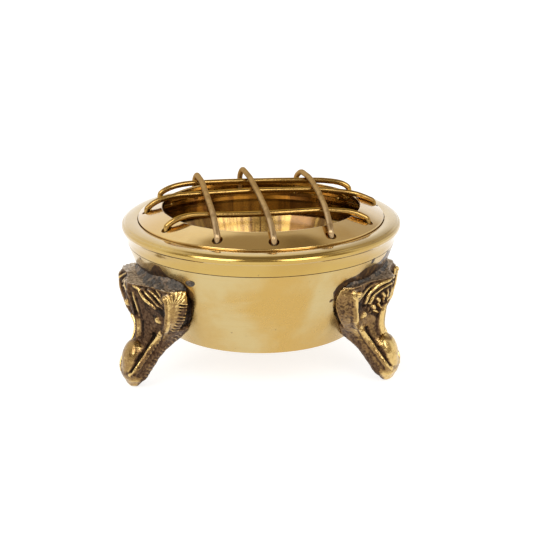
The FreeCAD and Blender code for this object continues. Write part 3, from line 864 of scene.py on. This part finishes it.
        # the tip is rounded under and a little fuller at its sides
        wide = 0.12 * step(5.5 - self.z, 0, 3)
        co[:, 0] += -math.sin(self.turn) * self.v * wide * MM
        co[:, 1] += math.cos(self.turn) * self.v * wide * MM
        edge = np.hypot((self.u - 41.4) / 2.3, self.v / 2.8)
        co[:, 2] += 0.75 * step(edge, 0.25, 1.15) * step(3.0 - self.z, 0, 3.0) * MM
        co[:, 2] = np.maximum(co[:, 2], 0)
        return co


def cast_blank(name):
    """The CAD casting as an even mesh, with its face and the tip of its trunk smoothed."""
    piece = copy_of("foot_" + name, "foot_" + name + "_cast", antique)
    voxel = 0.17 * MM
    applied(piece, ("REMESH", {"mode": "VOXEL", "voxel_size": voxel, "adaptivity": 0.0}))
    u, v, z = to_foot(coords(piece), name).T
    tip = step(7.5 - z, 0, 4)
    brow = 0.8 * step(z, 19, 21) * step(30.3 - z, 0, 0.6) * step(u, 35.5, 36.5)
    weights = np.maximum(np.maximum(tip, brow), 0.06)
    if name != "front_left":
        # the ear runs on into the flank of the trunk without a step
        weights = np.maximum(weights, step(z, 12.5, 15) * step(21 - z, 0, 2) * step(np.abs(v), 6.5, 8.5))
    soft = piece.vertex_groups.new(name="soft")
    for k, weight in enumerate(np.round(weights * 16) / 16):
        soft.add([k], float(weight), "REPLACE")
    applied(piece, ("SMOOTH", {"factor": 0.5, "iterations": 70, "vertex_group": "soft"}))
    piece.vertex_groups.clear()
    return piece


def standing_out(piece):
    """How far each point stands out from a smoothed copy of the piece, in mm."""
    m = piece.modifiers.new("soft", "SMOOTH")
    m.factor, m.iterations = 0.5, 60
    graph = bpy.context.evaluated_depsgraph_get()
    soft = piece.evaluated_get(graph).to_mesh()
    flat = np.empty(len(soft.vertices) * 3)
    soft.vertices.foreach_get("co", flat)
    piece.modifiers.clear()
    return ((coords(piece) - flat.reshape(-1, 3)) * normals(piece)).sum(1) / MM


def sculpt_foot(name):
    """The casting, with the fine relief that the founder's pattern had and the wear on what stands out."""
    piece = cast_blank(name)
    relief = Relief(piece, name)
    relief.lines()
    relief.trunk()
    relief.eyes()
    relief.ears()
    relief.underside()
    put(piece, relief.moved())
    behind = step(-0.35 - relief.face, 0, 0.4)
    # the relief height is rubbed ridges and dark hollows, and also carries the painted shade of the gaps
    # behind the ears
    height = 0.36 + standing_out(piece) * 1.3 + relief.worn - 0.15 * behind
    give(piece, "relief", np.clip(height, -0.1, 1.2))
    give(piece, "crown", step(relief.out[:, 2], 0.45, 0.8) * step(relief.z, 29.4, 30.0))
    piece.data.shade_smooth()
    return place(piece, "burner", "antique_brass", "foot_" + name)


# Each solder run, along the wall: (distance from the ridge, height of its upper edge, spread on the head)
SOLDER_RUNS = {
    "front_left": [(-12.5, 31.6, 0.6), (-8, 31.8, 1.4), (-4, 31.9, 2.2), (0, 32.0, 3.0), (3, 32.3, 3.8),
                   (5, 32.6, 4.2), (9.2, 33.4, 3.8), (12.7, 33.1, 1.9), (15.3, 32.6, 0.9)],
    "front_right": [(-14.6, 31.2, 0.4), (-12.2, 31.6, 0.5), (-8.4, 31.3, 0.7), (-4.8, 31.3, 0.8),
                    (-1.1, 31.7, 1.0), (3.1, 31.6, 1.2), (8, 31.5, 1.0), (13, 31.1, 0.4)],
    "back": [(-13.5, 31.4, 0.6), (-8, 31.9, 1.9), (0, 32.4, 2.6), (6, 32.0, 2.0), (13.5, 31.3, 0.6)],
}
WALL_R = 37.0


def wall_radius(z):
    """The bowl's outer radius at a height near the heads."""
    return float(np.interp(z, [MIDDLE[1] - 6, MIDDLE[1], SEAM_Z], [33.7, MIDDLE[0], SEAM_R]))


def solder_section(top, width, count):
    """A hollow curve from the wall down to the head, closed through the metal behind it, as (r, z) in mm."""
    base, high = wall_radius(HEAD_TOP_Z), wall_radius(top)
    start = np.array((high - 0.05, top))
    pull = np.array((high + 0.25 + width * 0.10, HEAD_TOP_Z + (top - HEAD_TOP_Z) * 0.45))
    stop = np.array((base + width, HEAD_TOP_Z + 0.02))
    t = np.linspace(0, 1, count - 3)[:, None]
    bend = start * (1 - t) ** 2 + 2 * pull * t * (1 - t) + stop * t ** 2
    back = [(base + width * 0.9, 30.35), (base - 0.6, 30.2), (high - 0.6, top - 0.1)]
    return [tuple(p) for p in bend] + back


def add_drop(piece, azimuth):
    """A drop of solder that ran on to the wall beside the ear."""
    bm = bmesh.new()
    bm.from_mesh(piece.data)
    made = bmesh.ops.create_icosphere(bm, subdivisions=4, radius=1.0)["verts"]
    spin = Matrix.Rotation(math.radians(azimuth), 4, "Z")
    out = Matrix.Translation((WALL_R * MM, 0, 33.1 * MM)) @ Matrix.Rotation(math.radians(18), 4, "Y")
    shape = Matrix.Diagonal((0.75 * MM, 1.5 * MM, 0.95 * MM, 1))
    bmesh.ops.transform(bm, matrix=spin @ out @ shape, verts=made)
    bm.to_mesh(piece.data)
    bm.free()


def lump_solder(name):
    """A run of solder, its upper edge on the wall and its lower edge spread over the head's flat top."""
    along, tops, widths = np.array(SOLDER_RUNS[name]).T
    steps = np.linspace(along[0], along[-1], 150)
    wave = np.array([noise.noise(Vector((x * 0.9, 3.0, 1.0))) for x in steps])
    ends = np.clip(np.minimum(steps - along[0], along[-1] - steps) / 1.2, 0.05, 1) ** 0.5
    points, faces = [], []
    count = 14
    lowest = HEAD_TOP_Z + 0.1
    for x, w, e in zip(steps, wave, ends):
        top = lowest + (np.interp(x, along, tops) - lowest + 0.35 * w) * e
        width = (np.interp(x, along, widths) * (1 + 0.25 * w) + 0.2) * e
        azimuth = math.radians(FOOT_AZIMUTH[name]) + x / WALL_R
        points += [(r * MM * math.cos(azimuth), r * MM * math.sin(azimuth), h * MM)
                   for r, h in solder_section(top, width, count)]
    for k in range(len(steps) - 1):
        for i in range(count):
            j = (i + 1) % count
            faces.append((k * count + i, k * count + j, (k + 1) * count + j, (k + 1) * count + i))
    faces += [tuple(range(count)), tuple(range((len(steps) - 1) * count, len(steps) * count))[::-1]]
    piece = link("solder_" + name + "_run", points, faces, solder_grey)
    if name == "front_left":
        add_drop(piece, 239.0)
    finish_normals(piece)
    applied(piece, ("REMESH", {"mode": "VOXEL", "voxel_size": 0.2 * MM, "adaptivity": 0.0}),
            ("SMOOTH", {"factor": 0.5, "iterations": 3}))
    co, out = coords(piece), normals(piece)
    size = lumps(co, 0.003, 3, 5.0) * 0.22 + lumps(co, 0.0010, 3, 2.0) * 0.10
    put(piece, co + out * size[:, None] * MM)
    piece.data.shade_smooth()
    return place(piece, "burner", "solder", "solder_" + name)


for name in FOOT_AZIMUTH:
    sculpt_foot(name)
    lump_solder(name)

# ---------------------------------------------------------------- floor and light

floor_mat, n, shader = material("floor")
cloud = n.noise(n.position(), 8, 2)
n.feed(shader.inputs["Base Color"], n.mix(cloud, rgb(0.41, 0.41, 0.41), rgb(0.43, 0.43, 0.43)))
shader.inputs["Roughness"].default_value = 0.8
shader.inputs["Emission Color"].default_value = rgb(1, 1, 1)
shader.inputs["Emission Strength"].default_value = 0.75
FLOOR_HALF = 3.0
corners = [(x * FLOOR_HALF, y * FLOOR_HALF, 0) for x, y in ((-1, -1), (1, -1), (1, 1), (-1, 1))]
floor = link("floor", corners, [(0, 1, 2, 3)], floor_mat, False)

world = bpy.data.worlds.new("studio")
scene.world = world
world.use_nodes = True
w = Nodes(world.node_tree)
background = world.node_tree.nodes["Background"]
x, y, z = w.split(w.add("ShaderNodeTexCoord").outputs["Generated"])
overhead = w.ramp(z, 0.79, 0.86, 1.14, 0.42)
behind_camera = w.ramp(y, -0.35, 0.05, 0.34, 1.0)
right_high = w.math("MULTIPLY", w.ramp(x, 0.03, 0.17), w.ramp(z, 0.26, 0.44))
right_back = w.math("MULTIPLY", right_high, w.ramp(y, 0.0, 0.4))
right_low = w.math("MULTIPLY", w.ramp(x, 0.08, 0.4), w.ramp(y, -0.2, 0.4))
shade = w.math("ADD", w.math("MULTIPLY", right_back, 0.32), w.math("MULTIPLY", right_low, 0.16))
level = w.math("MULTIPLY", w.math("MULTIPLY", overhead, behind_camera), w.math("SUBTRACT", 1.0, shade))
white = w.ramp(level, 0.35, 0.9)
w.feed(background.inputs["Color"], w.mix(white, rgb(1.0, 0.84, 0.62), rgb(1.0, 1.0, 1.0)))
w.feed(background.inputs["Strength"], level)


def softbox(name, azimuth, elevation, distance, width, height, power):
    """A large soft light that faces the burner. Azimuth 0 is the camera's side, and it grows to the right."""
    data = bpy.data.lights.new(name, "AREA")
    data.shape = "RECTANGLE"
    data.size, data.size_y = width, height
    data.energy = power
    lamp = bpy.data.objects.new(name, data)
    scene.collection.objects.link(lamp)
    a, e = math.radians(azimuth), math.radians(elevation)
    spot = Vector((math.sin(a) * math.cos(e), -math.cos(a) * math.cos(e), math.sin(e))) * distance
    lamp.location = spot
    lamp.rotation_euler = (Vector((0, 0, 0.03)) - spot).to_track_quat("-Z", "Y").to_euler()
    return lamp


softbox("softbox_left", -40, 38, 1.4, 0.75, 0.85, 8)
softbox("softbox_right", 34, 38, 1.4, 0.7, 0.85, 7)
